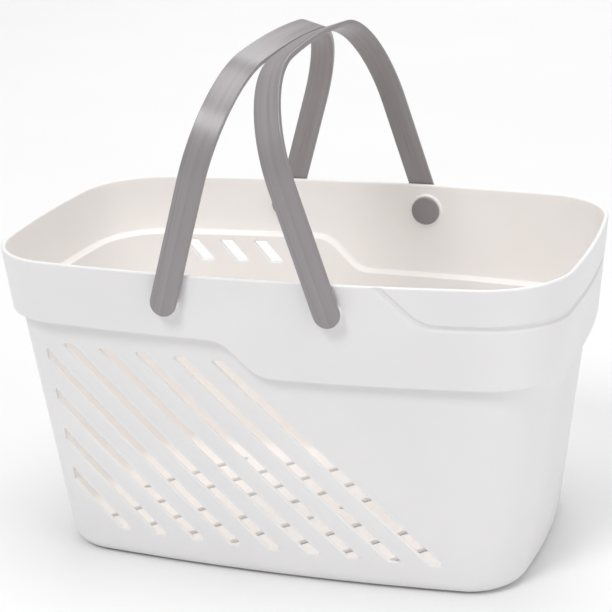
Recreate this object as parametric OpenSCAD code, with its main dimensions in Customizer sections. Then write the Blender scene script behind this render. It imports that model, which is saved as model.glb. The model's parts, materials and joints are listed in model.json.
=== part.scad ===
// Shower caddy: a moulded carrying basket with slanted drain slots and two
// swinging bail handles that fold down round its ends.
// Origin: centre of the base, on the surface it stands on.
// +X along the length, -Y towards the front, +Z up.

/* [Basket] */
// Length over the rim
length = 310; // [290:1:340]
// Width over the rim at the middle
width = 183; // [172:1:200]
// Height of the rim
height = 170; // [155:1:185]
// Wall thickness
wall = 2.4; // [2:0.1:3]
// Floor thickness
floor_t = 2.6; // [2:0.1:4]
// Corner radius at the rim, seen from above
corner_r = 44; // [38:1:50]
// How far the long sides bow outwards over their length
side_bow = 12; // [6:1:16]
// How far the ends bow outwards over their width
end_bow = 8; // [4:1:10]
// How much narrower each end is at the base than the rim
end_taper = 25; // [18:1:30]
// How much narrower each long side is at the base than the rim
side_taper = 17; // [13:1:22]
// Corner radius at the base, seen from above
base_corner_r = 30; // [26:1:36]
// Fillet under the base edge
base_fillet = 7; // [4:0.5:9]

/* [Band] */
// Depth of the band below the rim on its shallow, left part
band_shallow = 34; // [28:1:40]
// Depth of the band below the rim on its deep, right part
band_deep = 53; // [44:1:60]
// X of the place where the band starts to run down to its deep part
band_x = -16; // [-30:1:-6]
// Distance by which the band stands proud of the lower wall
band_step = 4.6; // [3:0.1:5.5]
// Height of the sloping ledge under the band
band_chamfer = 3.6; // [2:0.1:5]
// Inward slope of the band, per mm of height
band_draft = 0.093; // [0.06:0.001:0.11]
// X of the place where the chevron groove leaves the rim
chevron_x = 63; // [50:1:75]
// Depth of the chevron's lower edge below the rim
chevron_drop = 22; // [16:1:26]
// Height of the chevron groove
chevron_w = 3.4; // [2.4:0.1:3.8]
// Depth of the chevron groove
chevron_depth = 1.1; // [0.5:0.1:1.2]

/* [Drain slots] */
// Number of long slanted slots in the front wall
slots = 9; // [7:1:9]
// Distance between slots, along X
slot_pitch = 21.45; // [19:0.05:22]
// Width of a slot, along X
slot_w = 7.6; // [5:0.1:9]
// Corner radius of a slot
slot_r = 1; // [0.5:0.1:1.5]
// Height of the top line of the slots
slot_top = 123; // [110:1:126]
// Height of the bottom line of the slots
slot_bottom = 16.8; // [14:0.1:24]
// Where the left line of the slots meets the top line
slot_left = -121.5; // [-124:0.5:-115]
// Number of short slanted slots under the band of the rear wall
rear_slots = 4; // [2:1:4]
// Height of a rear slot
rear_slot_h = 12.5; // [9:0.5:15]
// Width of a rear slot, along X
rear_slot_w = 8.4; // [6:0.1:9]
// Number of slanted slits across the floor
floor_slits = 9; // [5:1:9]
// Distance between floor slits, square to them
floor_pitch = 23; // [20:0.5:26]
// Width of a floor slit
floor_slit_w = 4; // [3:0.1:6]

/* [Handles] */
// Distance of each pivot from the middle, along X
pivot_x = 42.4; // [40:0.1:46]
// Distance of each pivot below the rim
pivot_drop = 14.3; // [13:0.1:16]
// Length of a handle, from its pivots to its outer edge
handle_l = 121; // [119:0.5:126]
// Width of the handle strip
handle_w = 13.6; // [12:0.1:15]
// Thickness of the handle strip
handle_t = 2.6; // [2.2:0.1:3]
// Outside radius of the handle's shoulders
shoulder_r = 55; // [52:1:58]
// Outside radius of the handle's slightly crowned top
crown_r = 500; // [300:10:800]
// Gap between the two handles where they rest together
rest_gap = 0.5; // [0.3:0.1:1]

/* [Pivots] */
// Radius of the hole in the basket wall
hole_r = 5; // [4.5:0.1:5.5]
// Radial clearance of the handle's journal in that hole
running_fit = 0.05; // [0.03:0.01:0.09]
// Radius of the bore inside the journal
bore_r = 3; // [2.5:0.1:3.4]
// Press fit of the button's stem in that bore, on the radius
press = 0.02; // [0.01:0.01:0.03]
// Radius of the button's head
button_r = 8; // [7:0.1:8.5]
// Thickness of the button's head at its edge
button_t = 1.4; // [1.2:0.1:1.8]
// Gap on each side of the wall, between basket and handle or button
side_play = 0.2; // [0.1:0.05:0.3]

/* [Hidden] */
$fn = 64;

// Half sizes of the rim, and the height of the band's shallow lower edge
half_l = length / 2;
half_w = width / 2;
low_z = height - 45;                 // reference level for the lower wall
low_inset = 45 * band_draft + band_step;
pivot_z = height - pivot_drop;
// Handle: inner and outer faces of the legs, clear of the rim
leg_in = half_w + 0.1;
leg_out = leg_in + handle_t;
pad_out = leg_in - side_play;        // outer face of the pivot pads
pad_in = pad_out - 6;                // inner face of the pivot pads
head_y = pad_in - side_play;         // face of the button's head
// Angle and height where the shoulder runs into the crown
crown_a = acos((leg_out - shoulder_r) / (crown_r - shoulder_r));
leg_h = handle_l - crown_r + (crown_r - shoulder_r) * sin(crown_a);
// Lean of each handle from upright, with the two edges rest_gap apart
reach = sqrt(handle_l * handle_l + handle_w * handle_w / 4);
lean = asin((pivot_x - rest_gap / 2) / reach) - atan(handle_w / 2 / handle_l);

function lerp(a, b, t) = a + (b - a) * t;
function clamp01(t) = min(1, max(0, t));

// X places of the wall's columns along a long side: one at each bend of the
// band and the chevron, and the rest spread between them
side_xs = [
    96, chevron_x + chevron_drop + 4, chevron_x + chevron_drop,
    chevron_x + 14, chevron_x + 4, chevron_x, 44, 24,
    band_x + band_deep - band_shallow, 0, band_x, -34, -52, -74, -96
];
corner_n = 9;
end_n = 7;

// Outline of the basket at one level, seen from above: bowed sides and ends
// that run smoothly into round corners. a, b: half sizes. r: corner radius.
function side_arc(a, s) = (a * a + s * s) / (2 * s);
function outline(a, b, r, sx, sy) =
    let(
        rl = side_arc(a, sx), rs = side_arc(b, sy),
        y0 = b - rl, x1 = a - rs,            // centres of the two big arcs
        p = rl - r, q = rs - r,
        d = sqrt(x1 * x1 + y0 * y0),
        t = (p * p - q * q + d * d) / (2 * d),
        h = sqrt(p * p - t * t),
        ux = x1 / d, uy = -y0 / d,
        cx = t * ux - h * uy, cy = y0 + t * uy + h * ux,
        alt_x = t * ux + h * uy, alt_y = y0 + t * uy - h * ux,
        mx = cx + cy > alt_x + alt_y ? cx : alt_x,
        my = cx + cy > alt_x + alt_y ? cy : alt_y,
        wa = atan2(mx, my - y0), wb = atan2(my, mx - x1),
        corner = [for (i = [0 : corner_n])
            let(w = wb + (90 - wa - wb) * i / corner_n)
            [mx + r * cos(w), my + r * sin(w)]],
        end = [for (i = [1 : end_n])
            let(w = -wb + 2 * wb * i / (end_n + 1))
            [x1 + rs * cos(w), rs * sin(w)]],
        side = [for (x = side_xs) [x, y0 + sqrt(rl * rl - x * x)]]
    )
    concat(
        end,
        corner,
        side,
        [for (i = [corner_n : -1 : 0]) [-corner[i][0], corner[i][1]]],
        [for (i = [end_n - 1 : -1 : 0]) [-end[i][0], end[i][1]]],
        [for (i = [0 : corner_n]) [-corner[i][0], -corner[i][1]]],
        [for (i = [len(side) - 1 : -1 : 0]) [side[i][0], -side[i][1]]],
        [for (i = [corner_n : -1 : 0]) [corner[i][0], -corner[i][1]]]
    );

// Outlines of the band and of the lower wall, and the same 20 mm further in
band_0 = outline(half_l, half_w, corner_r, side_bow, end_bow);
band_20 = outline(half_l - 20, half_w - 20, corner_r - 20, side_bow, end_bow);
top_0 = outline(half_l - low_inset, half_w - low_inset, corner_r - low_inset,
                side_bow, end_bow);
top_20 = outline(half_l - low_inset - 20, half_w - low_inset - 20,
                 corner_r - low_inset - 20, side_bow, end_bow);
foot_0 = outline(half_l - end_taper, half_w - side_taper, base_corner_r,
                 side_bow * 0.6, end_bow);
foot_20 = outline(half_l - end_taper - 20, half_w - side_taper - 20,
                  base_corner_r - 20, side_bow * 0.6, end_bow);
cols = len(band_0);

// A point of the band's face, and of the lower wall's face, on column j at
// height z, moved inwards by e
function on_band(j, z, e) =
    let(p = lerp(band_0[j], band_20[j], ((height - z) * band_draft + e) / 20))
    [p[0], p[1], z];
function on_low(j, z, e) =
    let(p = lerp(lerp(top_0[j], top_20[j], e / 20),
                 lerp(foot_0[j], foot_20[j], e / 20), (low_z - z) / low_z))
    [p[0], p[1], z];

// Height of the band's lower edge and of the chevron's lower edge at a given x
function band_z(x) =
    height - lerp(band_shallow, band_deep,
                  clamp01((x - band_x) / (band_deep - band_shallow)));
function chevron_z(x) = height - min(chevron_drop, max(6, x - chevron_x));
function groove(x) = chevron_depth * clamp01((x - chevron_x - 2) / 6);

// One ring of points round the basket for each level of its skin, first up
// the outside, then down the inside
function col_x(j) = band_0[j][0];
function ring_band(dz_band, e) =
    [for (j = [0 : cols - 1]) on_band(j, band_z(col_x(j)) + dz_band, e)];
function ring_low(dz_band, e) =
    [for (j = [0 : cols - 1]) on_low(j, band_z(col_x(j)) + dz_band, e)];
function ring_foot(r, w, z0, e) =
    [for (j = [0 : cols - 1])
        on_low(j, z0 + r * (1 - sin(w)), e + r * (1 - cos(w)))];
function ring_chevron(dz, on) =
    [for (j = [0 : cols - 1])
        let(x = col_x(j)) on_band(j, chevron_z(x) + dz, on * groove(x))];
function ring_rim(down, e) =
    [for (j = [0 : cols - 1]) on_band(j, height - down, e)];

inner_fillet = 8;
rings = concat(
    [for (w = [90 : -22.5 : 0]) ring_foot(base_fillet, w, 0, 0)],
    [
        ring_low(-band_chamfer, 0),
        ring_band(0, 0),
        ring_chevron(0, 0),
        ring_chevron(0.6, 1),
        ring_chevron(chevron_w - 0.5, 1),
        ring_chevron(chevron_w, 0),
        ring_rim(1.2, 0),
        ring_rim(0.35, 0.35),
        ring_rim(0, 1.1),
        ring_rim(0, wall - 1.1),
        ring_rim(0.35, wall - 0.35),
        ring_rim(1.2, wall),
        ring_band(1.2, wall),
        ring_low(-band_chamfer + 1.2, wall)
    ],
    [for (w = [0 : 22.5 : 90]) ring_foot(inner_fillet, w, floor_t, wall)]
);

module skin() {
    n = len(rings);
    points = [for (r = rings) for (p = r) p];
    sides = [for (i = [0 : n - 2]) for (j = [0 : cols - 1])
        let(k = (j + 1) % cols, a = i * cols, b = a + cols)
        each [[a + j, b + j, b + k], [a + j, b + k, a + k]]];
    under = [for (j = [0 : cols - 1]) j];
    inside = [for (j = [cols - 1 : -1 : 0]) (n - 1) * cols + j];
    polyhedron(points, concat([under, inside], sides));
}

// A flat shape in the front view (x, z) pushed through one long wall: the
// front wall for side = -1, the rear wall for side = 1
module through_wall(side)
    translate([0, side * half_w, 0])
        rotate([90, 0, 0]) linear_extrude(width * 0.6, center = true) children();

// A slanted slot from height top down to bottom. x: its left edge at the top.
// run: how far it moves right for each mm down.
module slanted(x, top, bottom, w, run)
    polygon([
        [x, top], [x + w, top],
        [x + w + run * (top - bottom), bottom], [x + run * (top - bottom), bottom]
    ]);

// The long slots, clipped to one slanted-sided field and softly rounded
module slot_shapes() {
    field_left = 0.1;                    // lean of the field's left line
    last = slot_left + 97;               // left edge of the last slot, at the top
    offset(r = slot_r) offset(delta = -slot_r)
        intersection() {
            polygon([
                [slot_left, slot_top],
                [slot_left + field_left * (slot_top - slot_bottom), slot_bottom],
                [112, slot_bottom], [112, slot_top]
            ]);
            union() for (i = [0 : slots - 1])
                slanted(last - i * slot_pitch, slot_top, slot_bottom, slot_w, 1.025);
        }
}

// The short slots of the rear wall, in one row close under the band
module rear_slot_shapes()
    offset(r = slot_r) offset(delta = -slot_r)
        for (i = [0 : rear_slots - 1]) {
            top = height - band_shallow - 2;
            slanted(-40.8 - i * 21, top, top - rear_slot_h, rear_slot_w, 0.85);
        }

// Slanted slits in the flat of the floor, in two rows with a solid strip between
module floor_slit_shapes() {
    half_x = half_l - end_taper - 11.5;
    half_y = half_w - side_taper - 13;
    offset(r = 1.8) offset(delta = -1.8)
        intersection() {
            difference() {
                offset(r = 20) offset(delta = -20)
                    square([2 * half_x, 2 * half_y], center = true);
                square([2 * half_x, 12], center = true);
            }
            rotate(50) union()
                for (i = [-(floor_slits - 1) / 2 : (floor_slits - 1) / 2])
                    translate([0, i * floor_pitch - 3.5])
                        square([400, floor_slit_w], center = true);
        }
}

// Calls its children at the four pivots, with +Z pointing out of the basket
module at_pivots()
    for (sx = [-1, 1], sy = [-1, 1])
        translate([sx * pivot_x, 0, pivot_z]) rotate([-sy * 90, 0, 0]) children();

module basket() {
    color("whitesmoke")
    difference() {
        union() {
            skin();
            at_pivots() {
                translate([0, 0, pad_in]) cylinder(r = 9, h = 2.6);
                translate([0, 0, pad_in + 1]) cylinder(r = 6.4, h = pad_out - pad_in - 1);
            }
        }
        through_wall(-1) slot_shapes();
        through_wall(1) rear_slot_shapes();
        translate([0, 0, -1]) linear_extrude(floor_t + 2) floor_slit_shapes();
        at_pivots() translate([0, 0, pad_in - 5]) cylinder(r = hole_r, h = 20);
    }
}

// Outline of a handle's bend, from the front leg over the top to the rear leg,
// moved inwards by e, as seen along its width
function bend(e) =
    let(
        ys = leg_out - shoulder_r,
        half = concat(
            [[leg_out - e, 0]],
            [for (i = [0 : 12])
                let(w = crown_a * i / 12)
                [ys + (shoulder_r - e) * cos(w), leg_h + (shoulder_r - e) * sin(w)]],
            [for (i = [1 : 4])
                let(w = lerp(crown_a, 90, i / 4))
                [(crown_r - e) * cos(w),
                 handle_l - crown_r + (crown_r - e) * sin(w)]]
        ),
        n = len(half)
    )
    concat(half, [for (i = [n - 2 : -1 : 0]) [-half[i][0], half[i][1]]]);

module strip()
    rotate([90, 0, 90])
        linear_extrude(handle_w, center = true)
            polygon(concat(bend(0), [for (i = [len(bend(0)) - 1 : -1 : 0]) bend(handle_t)[i]]));

// A handle standing upright, with its pivot axis along Y through the origin
module handle() {
    strip();
    for (s = [-1, 1]) rotate([-s * 90, 0, 0]) {
        difference() {
            union() {
                translate([0, 0, leg_in]) cylinder(r = handle_w / 2, h = handle_t);
                translate([0, 0, head_y])
                    cylinder(r = hole_r - running_fit, h = leg_in - head_y + 0.5);
            }
            translate([0, 0, head_y - 1]) cylinder(r = bore_r, h = leg_in - head_y + 0.6);
        }
    }
}

// A snap button: a low domed head inside the wall, and a stem up the journal
module button(sx, sy)
    color("gainsboro")
    translate([sx * pivot_x, 0, pivot_z]) rotate([-sy * 90, 0, 0])
        rotate_extrude() polygon([
            [0, head_y - button_t - 0.6], [button_r * 0.6, head_y - button_t - 0.45],
            [button_r - 0.8, head_y - button_t], [button_r, head_y - button_t + 0.8],
            [button_r, head_y], [bore_r + press, head_y],
            [bore_r + press, leg_in - 1.6], [bore_r - 0.5, leg_in - 0.8],
            [0, leg_in - 0.8]
        ]);

module handle_left()
    color("gray") translate([-pivot_x, 0, pivot_z]) rotate([0, lean, 0]) handle();
module handle_right()
    color("dimgray") translate([pivot_x, 0, pivot_z]) rotate([0, -lean, 0]) handle();

basket();
handle_left();
handle_right();
button(-1, -1);  // button_left_front
button(-1, 1);  // button_left_rear
button(1, -1);  // button_right_front
button(1, 1);  // button_right_rear
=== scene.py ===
"""A shower caddy: a moulded basket with slanted drain slots, and two bail
handles on snap buttons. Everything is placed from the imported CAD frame, whose
origin is the centre of the base. Lengths are in millimetres until a mesh is
made; MM turns them into metres."""

import json

import bpy
import numpy as np
from mathutils import Matrix, Vector
from mathutils.geometry import delaunay_2d_cdt

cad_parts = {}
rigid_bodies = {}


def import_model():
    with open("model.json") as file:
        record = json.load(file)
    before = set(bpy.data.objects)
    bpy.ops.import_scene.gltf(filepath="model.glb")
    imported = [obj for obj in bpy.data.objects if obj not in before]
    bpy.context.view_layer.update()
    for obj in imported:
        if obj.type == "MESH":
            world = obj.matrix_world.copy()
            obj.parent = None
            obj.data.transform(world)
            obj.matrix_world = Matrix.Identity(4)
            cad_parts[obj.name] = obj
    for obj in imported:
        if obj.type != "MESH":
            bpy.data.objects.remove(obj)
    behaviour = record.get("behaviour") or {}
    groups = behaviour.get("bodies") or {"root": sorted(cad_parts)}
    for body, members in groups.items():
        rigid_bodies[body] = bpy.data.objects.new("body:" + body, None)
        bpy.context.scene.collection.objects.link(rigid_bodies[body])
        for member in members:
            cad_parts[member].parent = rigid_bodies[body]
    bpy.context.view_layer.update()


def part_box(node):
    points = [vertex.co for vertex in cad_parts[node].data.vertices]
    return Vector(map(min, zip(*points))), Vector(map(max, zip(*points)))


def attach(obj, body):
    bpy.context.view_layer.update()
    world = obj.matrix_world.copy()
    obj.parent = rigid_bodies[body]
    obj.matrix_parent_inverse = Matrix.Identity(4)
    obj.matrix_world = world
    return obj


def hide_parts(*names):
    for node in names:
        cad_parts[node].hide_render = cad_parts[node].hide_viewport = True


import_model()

MM = 0.001
TAU = 2 * np.pi

# ---------------------------------------------------------------- dimensions

BASKET_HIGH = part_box("basket")[1] / MM
HEIGHT = BASKET_HIGH.z
HALF_L = BASKET_HIGH.x
HALF_W = BASKET_HIGH.y
WALL = 2.4
FLOOR_T = 2.6
CORNER_R = 44.0
SIDE_BOW = 12.0
END_BOW = 8.0
RIM_R = 1.1

# The foot: how far in it stands from the rim, and its own corners
END_TAPER = 25.0
SIDE_TAPER = 17.0
FOOT_CORNER_R = 30.0
FOOT_SIDE_BOW = 7.2
BASE_FILLET = 7.0
INNER_FILLET = 8.0
OUTER_FOOT_Z = 9.5          # the lower wall's first level row, outside
INNER_FOOT_RISE = 1.4       # and inside, above the inner fillet

# The band: a deep collar whose lower edge runs at 45 degrees from its shallow
# left part down to its deep right part
BAND_DRAFT = 0.093
BAND_STEP = 4.6
BAND_HIGH_Z = HEIGHT - 34
BAND_LOW_Z = HEIGHT - 53
BAND_X = -16.0
BAND_SOFT = 5.0
LEDGE = 1.1
LEDGE_SOFT = 0.35
INNER_LEDGE_UP = 2.4        # how much higher the ledge is on the inside
EDGE_ROOM = 1.4             # rows of points run along the band's edge this close to it

# The level where the lower wall's face is set out, and its distance in from
# the rim there
LOW_DROP = 45
LOW_Z = HEIGHT - LOW_DROP
LOW_INSET = LOW_DROP * BAND_DRAFT + BAND_STEP

# The chevron: a shallow groove from the rim, round the right-hand end
CHEVRON_X = 63.0
CHEVRON_DROP = 22.4
CHEVRON_W = 3.6
CHEVRON_DEPTH = 1.1
CHEVRON_RAMP = 1.2
CHEVRON_SOFT = 6.0
CHEVRON_FADE = 1.5          # how far below the rim the groove reaches its full depth

# Drain slots, long ones in front and a short row at the rear
SLOTS = 9
SLOT_PITCH = 21.45
SLOT_W = 7.6
SLOT_RUN = 1.025
SLOT_TOP = 123.0
SLOT_BOTTOM = 16.8
SLOT_LEFT = -121.5
SLOT_LAST = -24.5
FIELD_LEAN = 0.1
REAR_SLOTS = 4
REAR_PITCH = 21.0
REAR_TOP = 134.0
REAR_BOTTOM = 121.5
REAR_W = 8.4
REAR_RUN = 0.85
REAR_LAST = -40.8
SLOT_R = 0.9
SLOT_EDGE = 0.55
FRONT_PATCH = (-127.5, 99.0)        # from and to x, the part of the wall that
REAR_PATCH = (-110.0, -15.0)        # is meshed anew round the slots
REAR_PATCH_X = -60.0
PATCH_ROOM = 4.0

# Floor slits
SLITS = 9
SLIT_PITCH = 23.0
SLIT_W = 4.0
SLIT_SHIFT = -3.5
SLIT_TURN = np.radians(50)
SLIT_HALF_X = HALF_L - END_TAPER - 11.5
SLIT_HALF_Y = HALF_W - SIDE_TAPER - 13
SLIT_CORNER = 20            # corner radius of the field that the slits fill
SLIT_STRIP = 6.0            # half the width of the solid strip along the middle
SLIT_RIM = 1.8              # room between a slit and the inner fillet
SLIT_EDGE = 0.6
SLIT_FEWEST = 60            # samples, 0.1 mm apart, in the shortest slit

# Handles and their pivots
PIVOT_X = 42.4
PIVOT_Z = HEIGHT - 14.3
PIVOT_PATCH_X = 12
PIVOT_PATCH_Z = 11.6
HANDLE_L = 121.0
HANDLE_W = 13.6
HANDLE_T = 2.6
SHOULDER_R = 55.0
CROWN_R = 500.0
REST_GAP = 0.5
SIDE_PLAY = 0.2
LEG_IN = HALF_W + 0.1
LEG_OUT = LEG_IN + HANDLE_T
PAD_OUT = LEG_IN - SIDE_PLAY
PAD_IN = PAD_OUT - 6
HEAD_Y = PAD_IN - SIDE_PLAY
HOLE_R = 5.0
JOURNAL_R = 4.95
BORE_R = 3.0
PAD_R = 6.4
BOSS_R = 9.0
BUTTON_R = 8.0
BUTTON_T = 1.4

# The basket's grid of points
STEP = 0.6                  # spacing of the fine lattice round the chevron
SIDE_X = 96.0               # side columns stand at a fixed x up to here


def smooth(t):
    """0 below 0, 1 above 1, and an S-curve between."""
    t = np.clip(t, 0, 1)
    return t * t * (3 - 2 * t)


def soft_min(a, b, k):
    """The lesser of a and b, with their corner rounded over k."""
    h = np.maximum(k - np.abs(a - b), 0) / k
    return np.minimum(a, b) - h * h * k / 4


def soft_max(a, b, k):
    """The greater of a and b, with their corner rounded over k."""
    return -soft_min(-a, -b, k)


# ------------------------------------------------- the basket's outline

class Outline:
    """The outline of the basket at one or more levels, seen from above: bowed
    sides and ends that run smoothly into round corners. a and b are the half
    sizes, r the corner radius, and sx and sy the bows; each may be an array."""

    def __init__(self, a, b, r, sx, sy):
        self.a, self.b, self.r = a, b, r
        self.side_r = (a * a + sx * sx) / (2 * sx)
        self.end_r = (b * b + sy * sy) / (2 * sy)
        self.side_y0 = b - self.side_r
        self.end_x0 = a - self.end_r
        p, q = self.side_r - r, self.end_r - r
        d = np.sqrt(self.end_x0 ** 2 + self.side_y0 ** 2)
        t = (p * p - q * q + d * d) / (2 * d)
        h = np.sqrt(p * p - t * t)
        ux, uy = self.end_x0 / d, -self.side_y0 / d
        first = (t * ux - h * uy, self.side_y0 + t * uy + h * ux)
        other = (t * ux + h * uy, self.side_y0 + t * uy - h * ux)
        pick = first[0] + first[1] > other[0] + other[1]
        self.cx = np.where(pick, first[0], other[0])
        self.cy = np.where(pick, first[1], other[1])
        self.side_w = np.arctan2(self.cx, self.cy - self.side_y0)
        self.end_w = np.arctan2(self.cy, self.cx - self.end_x0)
        self.tangent_x = self.cx + r * np.sin(self.side_w)

    def side(self, x):
        """y of the outline's positive side at x, round the corner as well."""
        x = np.abs(x)
        flat = self.side_y0 + np.sqrt(self.side_r ** 2 - np.minimum(x, self.tangent_x) ** 2)
        reach = np.clip(x - self.cx, 0, self.r)
        return np.where(x <= self.tangent_x, flat, self.cy + np.sqrt(self.r ** 2 - reach ** 2))

    def holds(self, x, y):
        """Whether a point is inside the outline."""
        x, y = np.abs(x), np.abs(y)
        end = self.end_x0 + np.sqrt(self.end_r ** 2 - y ** 2)
        return (x < end) & (x < self.cx + self.r) & (y < self.side(x))

    def column(self, kind, value):
        """The outline's point in the quarter x > 0, y > 0 on one column: a
        side column at an x (or a share of the way to the corner), a corner
        column at a share of its turn, or an end column at a share of it."""
        if kind == "side":
            return value, self.side_y0 + np.sqrt(self.side_r ** 2 - value ** 2)
        if kind == "near":
            x = SIDE_X + (self.tangent_x - SIDE_X) * value
            return x, self.side_y0 + np.sqrt(self.side_r ** 2 - x ** 2)
        if kind == "corner":
            w = self.end_w + (np.pi / 2 - self.side_w - self.end_w) * value
            return self.cx + self.r * np.cos(w), self.cy + self.r * np.sin(w)
        w = self.end_w * value
        return self.end_x0 + self.end_r * np.cos(w), self.end_r * np.sin(w)


def band_outline(z, e):
    """The band's face at height z, moved inwards by e."""
    i = (HEIGHT - z) * BAND_DRAFT + e
    return Outline(HALF_L - i, HALF_W - i, CORNER_R - i, SIDE_BOW, END_BOW)


def low_outline(z, e):
    """The lower wall's face at height z, moved inwards by e."""
    t = (LOW_Z - z) / LOW_Z

    def mix(top, foot):
        return top + (foot - top) * t

    return Outline(mix(HALF_L - LOW_INSET, HALF_L - END_TAPER) - e,
                   mix(HALF_W - LOW_INSET, HALF_W - SIDE_TAPER) - e,
                   mix(CORNER_R - LOW_INSET, FOOT_CORNER_R) - e,
                   mix(SIDE_BOW, FOOT_SIDE_BOW), END_BOW)


# ------------------------------------------------- features on the wall

def above_band_edge(x, z):
    """Distance above the band's lower edge, square to it; below it is less
    than 0. The edge is level, then runs down at 45 degrees, then level."""
    slope = (x - BAND_X + z - BAND_HIGH_Z) / np.sqrt(2)
    return soft_max(z - BAND_HIGH_Z, soft_min(z - BAND_LOW_Z, slope, BAND_SOFT), BAND_SOFT)


def edge_z(x, above):
    """Height of the line that far above the band's lower edge, at x."""
    lo = np.full(np.shape(x), BAND_LOW_Z - 30.0)
    hi = np.full(np.shape(x), HEIGHT + 5.0)
    for _ in range(40):
        mid = (lo + hi) / 2
        under = above_band_edge(x, mid) < above
        lo = np.where(under, mid, lo)
        hi = np.where(under, hi, mid)
    return (lo + hi) / 2


def in_low(x, z):
    """1 on the lower wall, 0 on the band, and between them on the ledge."""
    t = -above_band_edge(x, z) / LEDGE
    soft = LEDGE_SOFT / LEDGE
    ramp = soft_min(soft_max(t, 0 * t, soft), 0 * t + 1, soft)
    return np.clip(ramp, 0, 1)


def chevron(x, z):
    """Depth of the chevron groove."""
    over = soft_min((x - CHEVRON_X + z - HEIGHT) / np.sqrt(2),
                    z - (HEIGHT - CHEVRON_DROP), CHEVRON_SOFT)
    walls = np.minimum(over / CHEVRON_RAMP, (CHEVRON_W - over) / STEP)
    fade = smooth((HEIGHT - z) / CHEVRON_FADE)
    return CHEVRON_DEPTH * np.clip(walls, 0, 1) * fade


def wall_y(x, z, e):
    """y of the long wall's skin at depth e below its outer face."""
    low = in_low(x, z - INNER_LEDGE_UP * e / WALL)
    band = band_outline(z, e).side(x)
    return band + (low_outline(z, e).side(x) - band) * low


# ------------------------------------------------- meshes

INSIDE_RIM = 1      # the kind of result that delaunay_2d_cdt gives


class Shell:
    """Points and faces collected for one mesh."""

    def __init__(self):
        self.points = []
        self.inner = []
        self.faces = []

    def add(self, x, y, z, inner=0.0):
        """Adds points given as arrays, and returns their numbers, as shaped.
        inner: 0 on the outer skin and 1 on the inner one, for the material, which paints the inner
        skin warmer and lighter as painted bounce light and glow."""
        x, y, z, inner = np.broadcast_arrays(x, y, z, inner)
        first = len(self.points)
        self.points += np.column_stack([x.ravel(), y.ravel(), z.ravel()]).tolist()
        self.inner += inner.ravel().tolist()
        return np.arange(first, first + x.size).reshape(x.shape)

    def strip(self, low, high, closed=True, flip=False):
        """Quads between two rows of points."""
        n = len(low)
        for j in range(n if closed else n - 1):
            k = (j + 1) % n
            quad = (low[j], low[k], high[k], high[j])
            self.faces.append(quad[::-1] if flip else quad)

    def rows(self, rows, closed=True, flip=False):
        """Quads between each row of points and the next."""
        for low, high in zip(rows[:-1], rows[1:]):
            self.strip(low, high, closed, flip)

    def flat(self, axes):
        """Two of the coordinates of every point."""
        return np.array(self.points)[:, axes]

    def fill(self, rim, inner, holes, flat, flip=False):
        """Triangles that fill the closed row rim, through the points inner,
        around the holes (closed rows of points). flat: every point's place in
        the plane to work in."""
        ids, edges = [int(i) for i in inner], []
        for loop in [rim, *holes]:
            start, n = len(ids), len(loop)
            ids += [int(i) for i in loop]
            edges += [(start + j, start + (j + 1) % n) for j in range(n)]
        out = delaunay_2d_cdt([Vector(flat[i]) for i in ids], edges, [], INSIDE_RIM, 1e-7)
        origin = np.array([ids[first[0]] for first in out[3]])
        triangles = origin[np.array(out[2])]
        middle = flat[triangles].mean(axis=1)
        for hole in holes:
            keep = ~inside(middle, flat[hole])
            triangles, middle = triangles[keep], middle[keep]
        self.faces += triangles[:, ::-1 if flip else 1].tolist()

    def piece(self, name, body, node, material_slot, material, uv=None):
        """The finished object, which stands for a CAD node. uv: each point's
        place on the surface, in millimetres, for its material."""
        used = np.unique(np.concatenate([np.array(face) for face in self.faces]))
        number = np.zeros(len(self.points), int)
        number[used] = np.arange(len(used))
        mesh = bpy.data.meshes.new(name)
        mesh.from_pydata((np.array(self.points)[used] * MM).tolist(), [],
                         [number[list(face)].tolist() for face in self.faces])
        mesh.polygons.foreach_set("use_smooth", [True] * len(mesh.polygons))
        inner = mesh.attributes.new("inner", "FLOAT", "POINT")
        inner.data.foreach_set("value", np.array(self.inner)[used])
        if uv is not None:
            places = np.array(uv)[used] * MM
            corners = np.zeros(len(mesh.loops), int)
            mesh.loops.foreach_get("vertex_index", corners)
            mesh.uv_layers.new(name="along").data.foreach_set("uv", places[corners].ravel())
        mesh.materials.append(material)
        obj = bpy.data.objects.new(name, mesh)
        bpy.context.scene.collection.objects.link(obj)
        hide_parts(node)
        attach(obj, body)
        return obj


def inside(points, ring):
    """Which points lie inside the closed polygon ring."""
    x, y = points[:, 0], points[:, 1]
    odd = np.zeros(len(points), bool)
    for (ax, ay), (bx, by) in zip(ring, np.roll(ring, -1, axis=0)):
        if ay != by:
            odd ^= ((ay > y) != (by > y)) & (x < (bx - ax) * (y - ay) / (by - ay) + ax)
    return odd


def gap_to(points, ring):
    """Distance from each point to the closed polygon ring."""
    best = np.full(len(points), 1e9)
    for a, b in zip(ring, np.roll(ring, -1, axis=0)):
        ab = b - a
        t = np.clip((points - a) @ ab / max(ab @ ab, 1e-12), 0, 1)
        best = np.minimum(best, np.linalg.norm(points - (a + t[:, None] * ab), axis=1))
    return best


def clear_of(ids, holes, flat, room):
    """The points that stay clear of every hole by at least room."""
    for hole in holes:
        ring = flat[hole]
        ids = ids[~inside(flat[ids], ring)]
        ids = ids[gap_to(flat[ids], ring) > room]
    return ids


# ------------------------------------------------- shapes of the openings

def clip(polygon, point, normal):
    """The part of a convex polygon on the side of a line that normal points to."""
    out = []
    for a, b in zip(polygon, polygon[1:] + polygon[:1]):
        da, db = (np.dot(np.subtract(p, point), normal) for p in (a, b))
        if da >= 0:
            out.append(tuple(a))
        if (da >= 0) != (db >= 0):
            out.append(tuple(np.add(a, np.subtract(b, a) * da / (da - db))))
    return out


def turned(normal, angle):
    """A direction turned counterclockwise."""
    c, s = np.cos(angle), np.sin(angle)
    return np.array([c * normal[0] - s * normal[1], s * normal[0] + c * normal[1]])


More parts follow.
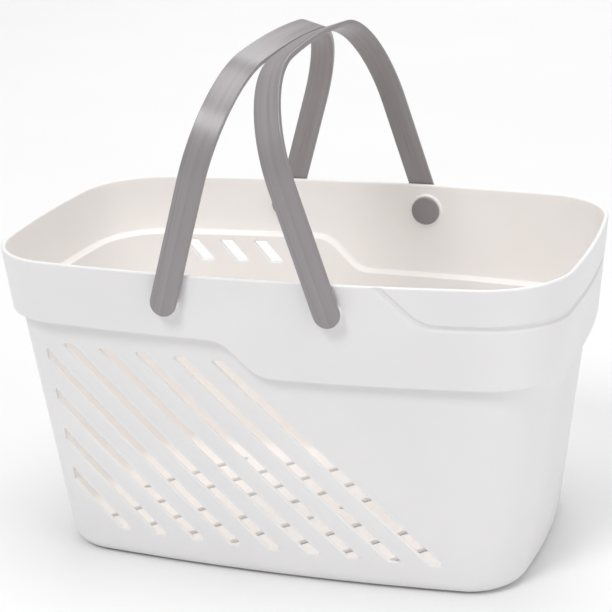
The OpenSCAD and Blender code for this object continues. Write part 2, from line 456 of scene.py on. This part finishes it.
def rounded(polygon, radius, spacing, arc=4):
    """Centres and directions that make a convex polygon (counterclockwise)
    with round corners: a point of the ring that is o outside it is
    centre + direction * (radius + o)."""
    corners = [np.array(p, float) for p in polygon]
    n = len(corners)
    normals = []
    for j in range(n):
        d = corners[(j + 1) % n] - corners[j]
        normals.append(np.array([d[1], -d[0]]) / np.linalg.norm(d))
    middles = []
    for j in range(n):
        before, after = normals[j - 1], normals[j]
        share = radius / (1 + before @ after)
        middles.append(corners[j] - (before + after) * share)
    centres, directions = [], []
    for j in range(n):
        before, after = normals[j - 1], normals[j]
        turn = np.arctan2(before[0] * after[1] - before[1] * after[0], before @ after)
        for i in range(arc + 1):
            centres.append(middles[j])
            directions.append(turned(before, turn * i / arc))
        span = middles[(j + 1) % n] - middles[j]
        parts = max(1, round(np.linalg.norm(span) / spacing))
        for i in range(1, parts):
            centres.append(middles[j] + span * i / parts)
            directions.append(after)
    return np.array(centres), np.array(directions)


def slanted(x, top, bottom, width, run):
    """A slot between two heights whose left edge is at x at the top and moves
    right by run for each mm down, counterclockwise in x and z."""
    shift = run * (top - bottom)
    return [(x, top), (x + shift, bottom), (x + shift + width, bottom), (x + width, top)]


def front_slots():
    """The long slots, whose ends follow the left line of their field."""
    for i in range(SLOTS):
        slot = slanted(SLOT_LAST - i * SLOT_PITCH, SLOT_TOP, SLOT_BOTTOM, SLOT_W, SLOT_RUN)
        yield clip(slot, (SLOT_LEFT, SLOT_TOP), (1, FIELD_LEAN))


def rear_slots():
    """The short slots, in one row under the band."""
    for i in range(REAR_SLOTS):
        yield slanted(REAR_LAST - i * REAR_PITCH, REAR_TOP, REAR_BOTTOM, REAR_W, REAR_RUN)


def floor_slits():
    """The two round ends' centres of each slit, in x and y."""
    half = SLIT_W / 2
    across = np.array([-np.sin(SLIT_TURN), np.cos(SLIT_TURN)])
    along = np.array([np.cos(SLIT_TURN), np.sin(SLIT_TURN)])
    reach = np.linspace(-140, 140, 2801)
    flat_floor = low_outline(FLOOR_T, WALL + INNER_FILLET + half + SLIT_RIM)
    for i in range(SLITS):
        offset = (i - (SLITS - 1) / 2) * SLIT_PITCH + SLIT_SHIFT
        line = across * offset + reach[:, None] * along
        x, y = np.abs(line[:, 0]), np.abs(line[:, 1])
        dx = np.maximum(x - (SLIT_HALF_X - SLIT_CORNER), 0)
        dy = np.maximum(y - (SLIT_HALF_Y - SLIT_CORNER), 0)
        in_field = (np.hypot(dx, dy) < SLIT_CORNER - half) & (y > SLIT_STRIP + half)
        ok = in_field & flat_floor.holds(x, y)
        for side in (-1, 1):
            run = line[ok & (np.sign(line[:, 1]) == side)]
            if len(run) > SLIT_FEWEST:
                yield run[0], run[-1]


def capsule(start, end, spacing, arc=8):
    """Like rounded(), for a slit with half-round ends."""
    span = end - start
    along = span / np.linalg.norm(span)
    right = np.array([along[1], -along[0]])
    parts = max(1, round(np.linalg.norm(span) / spacing))
    centres, directions = [], []
    for here, first, way in ((start, right, 1), (end, -right, -1)):
        for i in range(parts):
            centres.append(here + way * span * i / parts)
            directions.append(first)
        for i in range(arc):
            centres.append(here + way * span)
            directions.append(turned(first, np.pi * i / arc))
    return np.array(centres), np.array(directions)


# ------------------------------------------------- the basket

def basket_columns():
    """(kind, value, sign of x, sign of y) of each column, counterclockwise
    from the middle of the right-hand end."""
    ends = [("end", g) for g in np.linspace(0, 1, 11)[:-1]]
    corner = [("corner", f) for f in np.linspace(0, 1, 19)]
    near = [("near", f) for f in (0.8, 0.6, 0.4, 0.2)]
    # Fine round the chevron's corner and in the middle, coarse between them
    level = HEIGHT - CHEVRON_DROP
    fine = CHEVRON_X + HEIGHT - level + STEP * np.arange(-40, 10)
    right = [SIDE_X, 92.6, *fine[::-1], *np.arange(57.6, 13, -3.8), *np.arange(12, -0.1, -1.5)]
    left = [*np.arange(1.5, 25, 1.5), *np.arange(27, SIDE_X, 3.45), SIDE_X]
    right_half = ends + corner + near + [("side", x) for x in right]
    left_half = [("side", x) for x in left] + near[::-1] + corner[::-1] + ends[::-1]
    rear = [(k, v, 1, 1) for k, v in right_half] + [(k, v, -1, 1) for k, v in left_half]
    front = [(k, v, -1, -1) for k, v in left_half[::-1][1:]]
    front += [(k, v, 1, -1) for k, v in right_half[::-1][:-1]]
    return rear + front


class Basket:
    """The basket's skin: one grid of points that runs up the outside, over the
    rim and down the inside, with its openings and pivot bosses cut in."""

    def __init__(self):
        self.shell = Shell()
        self.columns = basket_columns()
        self.kind = np.array([c[0] for c in self.columns])
        self.value, self.sign_x, self.sign_y = (
            np.array([c[i] for c in self.columns]) for i in (1, 2, 3))
        self.rim_x = self.place(band_outline(HEIGHT, 0.0))[0]
        self.rows = []
        self.marks = {}
        self.outside_rows()
        self.rim_rows()
        self.inside_rows()
        self.x, self.y, self.z, inner = (np.array([row[i] for row in self.rows]) for i in range(4))
        self.ids = self.shell.add(self.x, self.y, self.z, inner)
        self.solid = np.ones((len(self.rows) - 1, len(self.columns)), bool)

    def row(self, z, e, inner=False):
        """Adds the row of points at heights z and depth e, each an array over
        the columns or one number."""
        z = z + np.zeros(len(self.columns))
        low = in_low(self.rim_x, z - (INNER_LEDGE_UP if inner else 0))
        band_x, band_y = self.place(band_outline(z, e))
        foot_x, foot_y = self.place(low_outline(z, e))
        share = np.minimum(e / WALL, 1) * inner
        self.rows.append((band_x + (foot_x - band_x) * low,
                          band_y + (foot_y - band_y) * low, z, share + 0 * z))

    def place(self, outline):
        """Each column's point on its own level of an outline."""
        x, y = np.zeros((2, len(self.columns)))
        for kind in ("end", "corner", "near", "side"):
            own = self.kind == kind
            values = np.where(own, self.value, 0)
            for out, value in zip((x, y), outline.column(kind, values)):
                out[own] = (value + 0 * x)[own]
        return x * self.sign_x, y * self.sign_y

    def mark(self, name):
        """Remembers the last row by a name."""
        self.marks[name] = len(self.rows) - 1

    def outside_rows(self):
        """From under the base to the rim, along the band's edge on the way."""
        x = self.rim_x
        for w in np.radians(np.linspace(90, 0, 8)):
            self.row(BASE_FILLET * (1 - np.sin(w)), BASE_FILLET * (1 - np.cos(w)))
        self.row(OUTER_FOOT_Z, 0)
        self.mark("foot")
        under = edge_z(x, -LEDGE - EDGE_ROOM)
        for t in np.linspace(0, 1, 36)[1:]:
            self.row(OUTER_FOOT_Z + (under - OUTER_FOOT_Z) * t, 0)
        self.mark("under_ledge")
        for above in np.concatenate([np.arange(-LEDGE - 0.6, 0.7, 0.2), [EDGE_ROOM]]):
            self.row(edge_z(x, above), 0)
        self.mark("over_ledge")
        over = edge_z(x, EDGE_ROOM)
        level = HEIGHT - CHEVRON_DROP
        for t in np.linspace(0, 1, 9)[1:-1]:
            self.row(over + (level - STEP - over) * t, 0)
        for i in range(-1, 36):
            z = level + STEP * i
            self.row(z, chevron(x, z))
        self.mark("rim")

    def rim_rows(self):
        """Over the rim."""
        turn = np.radians(np.linspace(0, 90, 6))
        for w in turn:
            z = HEIGHT - RIM_R * (1 - np.sin(w))
            self.row(z, RIM_R * (1 - np.cos(w)) + chevron(self.rim_x, z))
        for w in turn[::-1]:
            self.row(HEIGHT - RIM_R * (1 - np.sin(w)), WALL - RIM_R * (1 - np.cos(w)), True)
        self.mark("inner_rim")

    def inside_rows(self):
        """From the rim down to the floor."""
        x = self.rim_x
        start = HEIGHT - CHEVRON_DROP - 1
        for z in np.linspace(HEIGHT - RIM_R, start, 8)[1:]:
            self.row(z, WALL, True)
        over = edge_z(x, EDGE_ROOM) + INNER_LEDGE_UP
        for t in np.linspace(0, 1, 9)[1:-1]:
            self.row(start + (over - start) * t, WALL, True)
        self.mark("inner_over")
        for above in np.concatenate([[EDGE_ROOM], np.arange(0.8, -LEDGE - 0.7, -0.25)]):
            self.row(edge_z(x, above) + INNER_LEDGE_UP, WALL, True)
        under = edge_z(x, -LEDGE - EDGE_ROOM) + INNER_LEDGE_UP
        self.row(under, WALL, True)
        self.mark("inner_under")
        foot = FLOOR_T + INNER_FILLET + INNER_FOOT_RISE
        for t in np.linspace(0, 1, 35)[1:]:
            self.row(under + (foot - under) * t, WALL, True)
        self.mark("inner_foot")
        for w in np.radians(np.linspace(0, 90, 9)):
            self.row(FLOOR_T + INNER_FILLET * (1 - np.sin(w)),
                     WALL + INNER_FILLET * (1 - np.cos(w)), True)

    def block(self, r0, r1, c0, c1):
        """Takes out the quads between rows r0, r1 and columns c0, c1, and
        returns their rim (counterclockwise in the grid) and inner points."""
        self.solid[r0:r1, c0:c1] = False
        rim = np.concatenate([self.ids[r0, c0:c1], self.ids[r0:r1, c1],
                              self.ids[r1, c1:c0:-1], self.ids[r1:r0:-1, c0]])
        return rim, self.ids[r0 + 1:r1, c0 + 1:c1].ravel()

    def columns_between(self, side, x0, x1, row):
        """First and last column of the long side whose x at that row spans
        x0 to x1."""
        j = np.array([j for j, c in enumerate(self.columns) if c[3] == side and c[0] != "end"])
        x = self.x[row][j]
        inside_span = j[(x > x0) & (x < x1)]
        return inside_span.min() - 1, inside_span.max() + 1

    def row_at(self, first, last, z, column):
        """The row from first to last whose height at that column is nearest z."""
        rows = np.arange(first, last + 1)
        return rows[np.argmin(np.abs(self.z[rows, column] - z))]

    def wall_openings(self, side, shapes, patch, outer_rows, inner_rows, mid_row):
        """Cuts slots with rounded edges through a long wall. The skin between
        the given rows, and the x of the patch, is meshed anew round them."""
        shell = self.shell
        rings = [rounded(shape, SLOT_R, 2.2) for shape in shapes]
        quarter = np.radians((0, 30, 60, 90))
        profile = [(SLOT_EDGE + 0.35, 0.0)]
        profile += [(SLOT_EDGE * (1 - np.sin(w)), SLOT_EDGE * (1 - np.cos(w))) for w in quarter]
        profile += [(o, WALL - e) for o, e in profile[::-1]]
        outer, inner = [], []
        for centres, directions in rings:
            rows = []
            for grow, depth in profile:
                place = centres + directions * (SLOT_R + grow)
                y = side * wall_y(place[:, 0], place[:, 1], depth)
                rows.append(shell.add(place[:, 0], y, place[:, 1], depth / WALL))
            shell.rows(rows, flip=side > 0)
            outer.append(rows[0])
            inner.append(rows[-1])
        for rows, holes, flip in ((outer_rows, outer, side > 0), (inner_rows, inner, side < 0)):
            c0, c1 = self.columns_between(side, *patch, mid_row)
            rim, middle = self.block(rows[0], rows[1], c0, c1)
            flat = shell.flat([0, 2])
            shell.fill(rim, clear_of(middle, holes, flat, 0.45), holes, flat, flip)

    def pivots(self, side, sign):
        """Cuts a pivot hole, with its pad outside and its boss inside."""
        shell = self.shell
        turn = np.linspace(0, TAU, 48, endpoint=False)

        def ring(radius, y):
            x, z = sign * PIVOT_X + radius * np.cos(turn), PIVOT_Z + radius * np.sin(turn)
            return shell.add(x, side * y, z, y < PAD_IN + 0.5)

        def near(radius, depth, out):
            x, z = sign * PIVOT_X + radius * np.cos(turn), PIVOT_Z + radius * np.sin(turn)
            return shell.add(x, side * (wall_y(x, z, depth) + out), z, depth / WALL)

        pad = [near(PAD_R + 0.9, 0, 0), near(PAD_R + 0.5, 0, 0), near(PAD_R + 0.15, 0, 0.15),
               near(PAD_R, 0, 0.5), ring(PAD_R, PAD_OUT - 0.35),
               ring(PAD_R - 0.1, PAD_OUT - 0.1), ring(PAD_R - 0.35, PAD_OUT)]
        hole = [ring(HOLE_R + 0.3, PAD_OUT), ring(HOLE_R + 0.08, PAD_OUT - 0.1),
                ring(HOLE_R, PAD_OUT - 0.3), ring(HOLE_R, PAD_IN + 0.3),
                ring(HOLE_R + 0.08, PAD_IN + 0.1), ring(HOLE_R + 0.3, PAD_IN)]
        boss = [ring(BOSS_R - 0.35, PAD_IN), ring(BOSS_R - 0.1, PAD_IN + 0.1),
                ring(BOSS_R, PAD_IN + 0.3), near(BOSS_R, WALL, -0.2),
                near(BOSS_R + 0.1, WALL, -0.05), near(BOSS_R + 0.3, WALL, 0),
                near(BOSS_R + 0.7, WALL, 0)]
        shell.rows(pad + hole + boss, flip=side > 0)
        for first, last, rim_of_hole, flip in (("over_ledge", "rim", pad[0], side > 0),
                                               ("inner_rim", "inner_over", boss[-1], side < 0)):
            c0, c1 = self.columns_between(side, sign * PIVOT_X - PIVOT_PATCH_X,
                                          sign * PIVOT_X + PIVOT_PATCH_X, self.marks["rim"])
            middle_column = (c0 + c1) // 2
            at = (self.marks[first], self.marks[last])
            r0, r1 = sorted((self.row_at(*at, PIVOT_Z - PIVOT_PATCH_Z, middle_column),
                             self.row_at(*at, PIVOT_Z + PIVOT_PATCH_Z, middle_column)))
            rim, middle = self.block(r0, r1, c0, c1)
            flat = shell.flat([0, 2])
            middle = clear_of(middle, [rim_of_hole], flat, 0.6)
            shell.fill(rim, middle, [rim_of_hole], flat, flip)

    def floor(self):
        """The underside and the floor, with the slits between them."""
        shell = self.shell
        quarter = np.radians((0, 45, 90))
        profile = [(SLIT_EDGE * (1 - np.sin(w)), SLIT_EDGE * (1 - np.cos(w))) for w in quarter]
        profile += [(o, FLOOR_T - e) for o, e in profile[::-1]]
        below, above = [], []
        for start, end in floor_slits():
            centres, directions = capsule(start, end, 3.0)
            rows = []
            for grow, up in profile:
                place = centres + directions * (SLIT_W / 2 + grow)
                rows.append(shell.add(place[:, 0], place[:, 1], up, up / FLOOR_T))
            shell.rows(rows, flip=True)
            below.append(rows[0])
            above.append(rows[-1])
        gx, gy = np.meshgrid(np.arange(-120, 121, 6.0), np.arange(-66, 67, 6.0))
        for rim, holes, z, flip in ((self.ids[0], below, 0.0, True),
                                    (self.ids[-1], above, FLOOR_T, False)):
            ring = np.array(shell.points)[rim][:, :2]
            places = np.column_stack([gx.ravel(), gy.ravel()])
            places = places[inside(places, ring) & (gap_to(places, ring) > 3)]
            middle = shell.add(places[:, 0], places[:, 1], z, z / FLOOR_T)
            flat = shell.flat([0, 1])
            shell.fill(rim, clear_of(middle, holes, flat, 1.0), holes, flat, flip)

    def finish(self, material):
        """Cuts every opening, joins the rest of the grid and makes the piece."""
        m = self.marks
        for side in (1, -1):
            for sign in (-1, 1):
                self.pivots(side, sign)
        mid = self.row_at(m["foot"], m["under_ledge"], SLOT_TOP, len(self.columns) // 4)
        self.wall_openings(-1, list(front_slots()), FRONT_PATCH,
                           (m["foot"], m["under_ledge"]),
                           (m["inner_under"], m["inner_foot"]), mid)
        column = int(np.argmin(np.abs(self.rim_x - REAR_PATCH_X)))
        low = REAR_BOTTOM - PATCH_ROOM
        outer_low = self.row_at(m["foot"], m["under_ledge"], low, column)
        inner_low = self.row_at(m["inner_under"], m["inner_foot"], low, column)
        self.wall_openings(1, list(rear_slots()), REAR_PATCH,
                           (outer_low, m["over_ledge"] + 2),
                           (m["inner_over"] - 2, inner_low), mid)
        self.floor()
        n = len(self.columns)
        for i, j in zip(*np.nonzero(self.solid)):
            k = (j + 1) % n
            self.shell.faces.append((self.ids[i, j], self.ids[i, k],
                                     self.ids[i + 1, k], self.ids[i + 1, j]))
        return self.shell.piece("basket_shell", "tub", "basket", "basket_plastic", material)


# ------------------------------------------------- the handles

CROWN_A = np.arccos((LEG_OUT - SHOULDER_R) / (CROWN_R - SHOULDER_R))
LEG_H = HANDLE_L - CROWN_R + (CROWN_R - SHOULDER_R) * np.sin(CROWN_A)
HALF_T = HANDLE_T / 2
SHOULDER_S = (SHOULDER_R - HALF_T) * CROWN_A                # lengths along the
CROWN_S = (CROWN_R - HALF_T) * (np.pi / 2 - CROWN_A)        # middle line
HANDLE_EDGE = 0.5
LEAN = (np.arcsin((PIVOT_X - REST_GAP / 2) / np.hypot(HANDLE_L, HANDLE_W / 2))
        - np.arctan(HANDLE_W / 2 / HANDLE_L))


def bend(s):
    """The strip's middle line at length s from the front pivot, as y, z, and
    its outward direction there."""
    half = LEG_H + SHOULDER_S + CROWN_S
    back = s > half
    s = np.where(back, 2 * half - s, s)
    a = np.clip(s - LEG_H, 0, SHOULDER_S) / (SHOULDER_R - HALF_T)
    b = np.clip(s - LEG_H - SHOULDER_S, 0, CROWN_S) / (CROWN_R - HALF_T)
    w = a + b
    on_crown = b > 0
    cy = np.where(on_crown, 0, LEG_OUT - SHOULDER_R)
    cz = np.where(on_crown, HANDLE_L - CROWN_R, LEG_H)
    r = np.where(on_crown, CROWN_R, SHOULDER_R) - HALF_T
    y = -(cy + r * np.cos(w))
    z = cz + r * np.sin(w) + np.minimum(s - LEG_H, 0)
    side = np.where(back, -1, 1)
    return side * y, z, side * -np.cos(w), np.sin(w)


def bend_stations():
    """Lengths along the middle line where the strip has a row of points."""
    half = np.concatenate([np.linspace(0, LEG_H, 21)[:-1],
                           LEG_H + np.linspace(0, SHOULDER_S, 25)[:-1],
                           LEG_H + SHOULDER_S + np.linspace(0, CROWN_S, 13)])
    return np.concatenate([half, 2 * half[-1] - half[-2::-1]])


def at_rest(sign, x, y, z):
    """A handle's point, given from its pivot as if the handle stood upright,
    where it is when the handle leans inwards at rest."""
    lean = -sign * LEAN
    return (sign * PIVOT_X + x * np.cos(lean) + z * np.sin(lean), y,
            PIVOT_Z - x * np.sin(lean) + z * np.cos(lean))


class Bail:
    """A bail handle: a bent strip with round feet, whose two hollow journals
    run through the basket's wall."""

    def __init__(self, sign):
        self.sign = sign
        self.shell = Shell()
        self.stations = bend_stations()
        self.flat = []          # each point's length along the strip, and across it

    def put(self, s, across, out):
        """Points at lengths s along the strip, across it and out of its middle
        layer."""
        s, across, out = np.broadcast_arrays(s, across, out)
        y, z, ny, nz = bend(s)
        self.flat.extend(np.column_stack([s.ravel(), across.ravel()]).tolist())
        return self.shell.add(*at_rest(self.sign, across, y + ny * out, z + nz * out))

    def ring(self, r, out):
        """A closed row round the strip, r from its middle line."""
        along = self.stations
        cap = np.radians(np.linspace(-90, 90, 17))[1:-1]
        s = [along, along[-1] + r * np.cos(cap), along[::-1], -r * np.cos(cap)]
        across = [-r + 0 * along, r * np.sin(cap), r + 0 * along, -r * np.sin(cap)]
        return self.put(np.concatenate(s), np.concatenate(across), out)

    def edge(self):
        """The strip's rounded edge. Returns its first row, on the outer face,
        and its last row, on the inner one."""
        level = HANDLE_W / 2 - HANDLE_EDGE
        profile = [(level - 0.35, HALF_T)]
        profile += [(level + HANDLE_EDGE * np.sin(w), HALF_T - HANDLE_EDGE * (1 - np.cos(w)))
                    for w in np.radians(np.linspace(0, 90, 5))]
        rings = [self.ring(r, out) for r, out in profile]
        rings += [self.ring(r, -out) for r, out in profile[::-1]]
        self.shell.rows(rings)
        return rings[0], rings[-1]

    def journal(self, end):
        """The hollow journal at one end of the strip. Returns its root."""
        turn = np.linspace(0, TAU, 40, endpoint=False)
        inner = HEAD_Y - (LEG_OUT - HALF_T)
        face = -HALF_T
        profile = [(JOURNAL_R + 0.75, face), (JOURNAL_R + 0.4, face),
                   (JOURNAL_R + 0.1, face - 0.1), (JOURNAL_R, face - 0.4),
                   (JOURNAL_R, inner + 0.4), (JOURNAL_R - 0.1, inner + 0.1),
                   (JOURNAL_R - 0.4, inner), (BORE_R + 0.3, inner), (BORE_R, inner + 0.3),
                   (BORE_R, face - 0.4), (BORE_R * 0.5, face - 0.4)]
        rows = [self.put(end + r * np.cos(turn), r * np.sin(turn), out) for r, out in profile]
        self.shell.rows(rows)
        self.shell.fill(rows[-1], [], [], np.array(self.flat))
        return rows[0]

    def face(self, out, rim, cuts, flip):
        """A broad face of the strip, inside its rim and round its cuts."""
        s, across = np.meshgrid(self.stations, np.linspace(-4.6, 4.6, 5))
        middle = self.put(s.ravel(), across.ravel(), out)
        places = np.array(self.flat)
        self.shell.fill(rim, clear_of(middle, cuts, places, 0.7), cuts, places, flip)

    def finish(self, name, body, material):
        """Puts the handle together and makes the piece."""
        outer_rim, inner_rim = self.edge()
        feet = [self.journal(end) for end in (0.0, self.stations[-1])]
        self.face(HALF_T, outer_rim, [], True)
        self.face(-HALF_T, inner_rim, feet, False)
        return self.shell.piece(name + "_strip", body, name, "handle_plastic", material, self.flat)


# ------------------------------------------------- the buttons

def lathe(shell, profile, put, turns=48):
    """Turns a profile of (radius, along) round an axis. It starts and ends on
    the axis, where radius is 0."""
    w = np.linspace(0, TAU, turns, endpoint=False)
    rows = [put(r * np.cos(w), r * np.sin(w), along) for r, along in profile[1:-1]]
    shell.rows(rows, flip=True)
    for (_, along), row, flip in ((profile[0], rows[0], False), (profile[-1], rows[-1], True)):
        tip = put(np.zeros(1), np.zeros(1), along)[0]
        for a, b in zip(row, np.roll(row, -1)):
            shell.faces.append((b, a, tip) if flip else (a, b, tip))


def arc(cx, cy, r, start, end, n=4):
    """Points of a profile on a circular arc, in degrees."""
    w = np.radians(np.linspace(start, end, n + 1))
    return list(zip(cx + r * np.cos(w), cy + r * np.sin(w)))


def button(sign, side, name, body, material):
    """A snap button: a low domed head inside the wall, and a stem that fills
    the journal's bore. Its profile runs from the dome to the stem's tip."""
    shell = Shell()
    back = HEAD_Y - 0.02
    front = HEAD_Y - BUTTON_T
    stem = BORE_R - 0.02
    tip = LEG_IN - 0.8
    dome = [(r, front - 0.6 * (1 - (r / BUTTON_R) ** 2)) for r in (0, 1.5, 3, 4.5, 6)]
    profile = dome + arc(BUTTON_R - 0.75, front + 0.62, 0.75, -75, 0)
    profile += arc(BUTTON_R - 0.25, back - 0.25, 0.25, 0, 90, 2)
    profile += [(stem + 0.4, back), (stem, back + 0.1), (stem, tip - 0.8),
                (stem - 0.6, tip), (0, tip)]

    def put(a, b, along):
        """a and b square to the pivot's axis, and along it from the middle."""
        return shell.add(*at_rest(sign, a * side, side * along + 0 * a, b))

    lathe(shell, profile, put)
    return shell.piece(name + "_snap", body, name, "button_plastic", material)


# ------------------------------------------------- materials

MIX_A, MIX_B = 6, 7         # the Mix node's colour inputs
MIX_RESULT = 2              # and its colour output


class Nodes:
    """A material under construction: its node tree and its Principled shader."""

    def __init__(self, name):
        self.material = bpy.data.materials.new(name)
        self.material.use_nodes = True
        self.tree = self.material.node_tree
        self.shader = self.tree.nodes["Principled BSDF"]
        self.place = self.node("ShaderNodeTexCoord").outputs["Object"]

    def node(self, kind, **settings):
        """A new node with some of its settings."""
        made = self.tree.nodes.new(kind)
        for key, value in settings.items():
            setattr(made, key, value)
        return made

    def link(self, output, target):
        self.tree.links.new(output, target)

    def noise(self, scale, detail=2.0, place=None):
        """Noise at a scale in features to a metre."""
        made = self.node("ShaderNodeTexNoise")
        made.inputs["Scale"].default_value = scale
        made.inputs["Detail"].default_value = detail
        self.link(place or self.place, made.inputs["Vector"])
        return made.outputs["Fac"]

    def stretched(self, place, scale):
        """A place scaled by its own number along each axis."""
        made = self.node("ShaderNodeMapping")
        made.inputs["Scale"].default_value = scale
        self.link(place, made.inputs["Vector"])
        return made.outputs["Vector"]

    def spread(self, value, low, high, start=0.3, end=0.7):
        """Maps a value from start..end to low..high."""
        made = self.node("ShaderNodeMapRange")
        made.inputs["From Min"].default_value = start
        made.inputs["From Max"].default_value = end
        made.inputs["To Min"].default_value = low
        made.inputs["To Max"].default_value = high
        self.link(value, made.inputs["Value"])
        return made.outputs["Result"]

    def mix(self, factor, a, b):
        """A colour between a and b, each a colour or an output."""
        made = self.node("ShaderNodeMix", data_type="RGBA")
        self.link(factor, made.inputs["Factor"])
        for number, colour in ((MIX_A, a), (MIX_B, b)):
            if isinstance(colour, tuple):
                made.inputs[number].default_value = (*colour, 1)
            else:
                self.link(colour, made.inputs[number])
        return made.outputs[MIX_RESULT]

    def bump(self, *layers):
        """Layers of (height, strength, depth in mm), one on top of the other."""
        normal = None
        for height, strength, depth in layers:
            made = self.node("ShaderNodeBump")
            made.inputs["Strength"].default_value = strength
            made.inputs["Distance"].default_value = depth * MM
            self.link(height, made.inputs["Height"])
            if normal:
                self.link(normal, made.inputs["Normal"])
            normal = made.outputs["Normal"]
        self.link(normal, self.shader.inputs["Normal"])

    def set(self, **values):
        """Sets the shader's plain values, named with _ for a space."""
        for key, value in values.items():
            self.shader.inputs[key.replace("_", " ")].default_value = value


def basket_plastic():
    """White polypropylene with a fine moulded grain: faint cloudy tone, an inner skin painted
    warmer and lighter as painted warm bounce light and glow through the thin wall, and a satin
    gloss that varies a little."""
    m = Nodes("basket_plastic")
    cloud = m.spread(m.noise(14, 3), 0, 1)
    outer = m.mix(cloud, (0.83, 0.82, 0.832), (0.865, 0.855, 0.862))
    # Painted light: the inner skin's warmer, lighter colour stands for warm bounce light and light
    # glowing through the thin wall. The plastic itself is the same white inside and out.
    inner = m.mix(cloud, (0.92, 0.885, 0.86), (0.95, 0.92, 0.90))
    skin = m.node("ShaderNodeAttribute", attribute_name="inner").outputs["Fac"]
    m.link(m.mix(skin, outer, inner), m.shader.inputs["Base Color"])
    m.link(m.spread(m.noise(160, 4), 0.40, 0.50), m.shader.inputs["Roughness"])
    m.bump((m.noise(35, 2), 0.15, 0.5), (m.noise(1500, 3), 0.12, 0.08))
    m.set(Subsurface_Weight=0.06, Subsurface_Radius=(1.0, 0.8, 0.65), Subsurface_Scale=0.002,
          IOR=1.49)
    return m.material


def handle_plastic():
    """Warm grey polypropylene whose flow lines run along the strip."""
    m = Nodes("handle_plastic")
    along = m.node("ShaderNodeUVMap", uv_map="along").outputs["UV"]
    broad = m.noise(1.0, 2, m.stretched(along, (7, 330, 1)))
    fine = m.noise(1.0, 3, m.stretched(along, (12, 1100, 1)))
    tone = m.mix(m.spread(broad, 0, 1), (0.235, 0.213, 0.223), (0.30, 0.276, 0.286))
    m.link(m.mix(m.spread(fine, 0, 0.4), tone, (0.36, 0.338, 0.347)), m.shader.inputs["Base Color"])
    m.link(m.spread(broad, 0.26, 0.38), m.shader.inputs["Roughness"])
    m.bump((fine, 0.06, 0.12), (m.noise(1600, 2), 0.1, 0.06))
    m.set(IOR=1.5, Specular_IOR_Level=0.8)
    return m.material


def button_plastic():
    """The handles' grey, with an even fine grain."""
    m = Nodes("button_plastic")
    cloud = m.spread(m.noise(60, 3), 0, 1)
    tone = m.mix(cloud, (0.25, 0.233, 0.237), (0.285, 0.267, 0.27))
    m.link(tone, m.shader.inputs["Base Color"])
    m.link(m.spread(m.noise(300, 3), 0.36, 0.48), m.shader.inputs["Roughness"])
    m.bump((m.noise(1800, 2), 0.15, 0.06))
    m.set(IOR=1.49)
    return m.material


# ------------------------------------------------- the object

Basket().finish(basket_plastic())
grey, knob = handle_plastic(), button_plastic()
for end_name, x_sign in (("left", -1), ("right", 1)):
    bail = end_name + "_bail"
    Bail(x_sign).finish("handle_" + end_name, bail, grey)
    for side_name, y_sign in (("front", -1), ("rear", 1)):
        button(x_sign, y_sign, "button_" + end_name + "_" + side_name, bail, knob)


# ------------------------------------------------- floor, light and camera

CAMERA_AT = Vector((298.25, -818.62, 431.19)) * MM
CAMERA_TURN = np.radians(20.119)
CAMERA_RISE = np.radians(19.363)
CAMERA_ROLL = np.radians(-2.888)
LENS = 100.97
SENSOR = 36.0
FLOOR_GAP = 0.2         # keeps the floor from meeting the base face to face


def floor():
    """The pale studio floor."""
    bpy.ops.mesh.primitive_plane_add(size=8)
    ground = bpy.context.object
    ground.name = "floor"
    ground.location.z = -FLOOR_GAP * MM
    m = Nodes("floor")
    m.link(m.mix(m.spread(m.noise(3, 3), 0, 1), (0.86, 0.86, 0.86), (0.88, 0.88, 0.88)),
           m.shader.inputs["Base Color"])
    m.set(Roughness=0.8)
    ground.data.materials.append(m.material)


def camera():
    """The camera, aimed by its turn, rise and roll."""
    a, e = CAMERA_TURN, CAMERA_RISE
    back = Vector((np.sin(a) * np.cos(e), -np.cos(a) * np.cos(e), np.sin(e)))
    right = Vector((np.cos(a), np.sin(a), 0))
    up = back.cross(right)
    c, s = np.cos(CAMERA_ROLL), np.sin(CAMERA_ROLL)
    axes = Matrix((right * c + up * s, up * c - right * s, back)).transposed()
    data = bpy.data.cameras.new("camera")
    data.lens = LENS
    data.sensor_width = SENSOR
    made = bpy.data.objects.new("camera", data)
    made.matrix_world = Matrix.Translation(CAMERA_AT) @ axes.to_4x4()
    bpy.context.scene.collection.objects.link(made)
    bpy.context.scene.camera = made


def softbox(name, place, size, power, aim=(0, 0, HEIGHT * MM / 2)):
    """A square area light. Place, size and aim are in metres, power in watts."""
    data = bpy.data.lights.new(name, "AREA")
    data.size = size
    data.energy = power
    made = bpy.data.objects.new(name, data)
    made.location = place
    way = Vector(aim) - Vector(place)
    made.rotation_euler = way.to_track_quat("-Z", "Y").to_euler()
    bpy.context.scene.collection.objects.link(made)


def world(strength):
    """An even white surround."""
    made = bpy.data.worlds.new("studio")
    made.use_nodes = True
    back = made.node_tree.nodes["Background"]
    back.inputs["Color"].default_value = (1, 1, 1, 1)
    back.inputs["Strength"].default_value = strength
    bpy.context.scene.world = made


floor()
camera()
softbox("key", (-0.8, -2.3, 3.1), 1.2, 50)
softbox("top", (0.3, 0.2, 3.4), 2.4, 50)
softbox("left", (-1.8, 0.2, 1.0), 1.2, 3)
softbox("right", (1.6, -0.6, 1.1), 1.2, 8)
softbox("background", (-0.6, 2.6, 2.0), 2.0, 26, (-0.6, 2.6, 0))
world(0.335)
bpy.context.scene.view_settings.view_transform = "Standard"
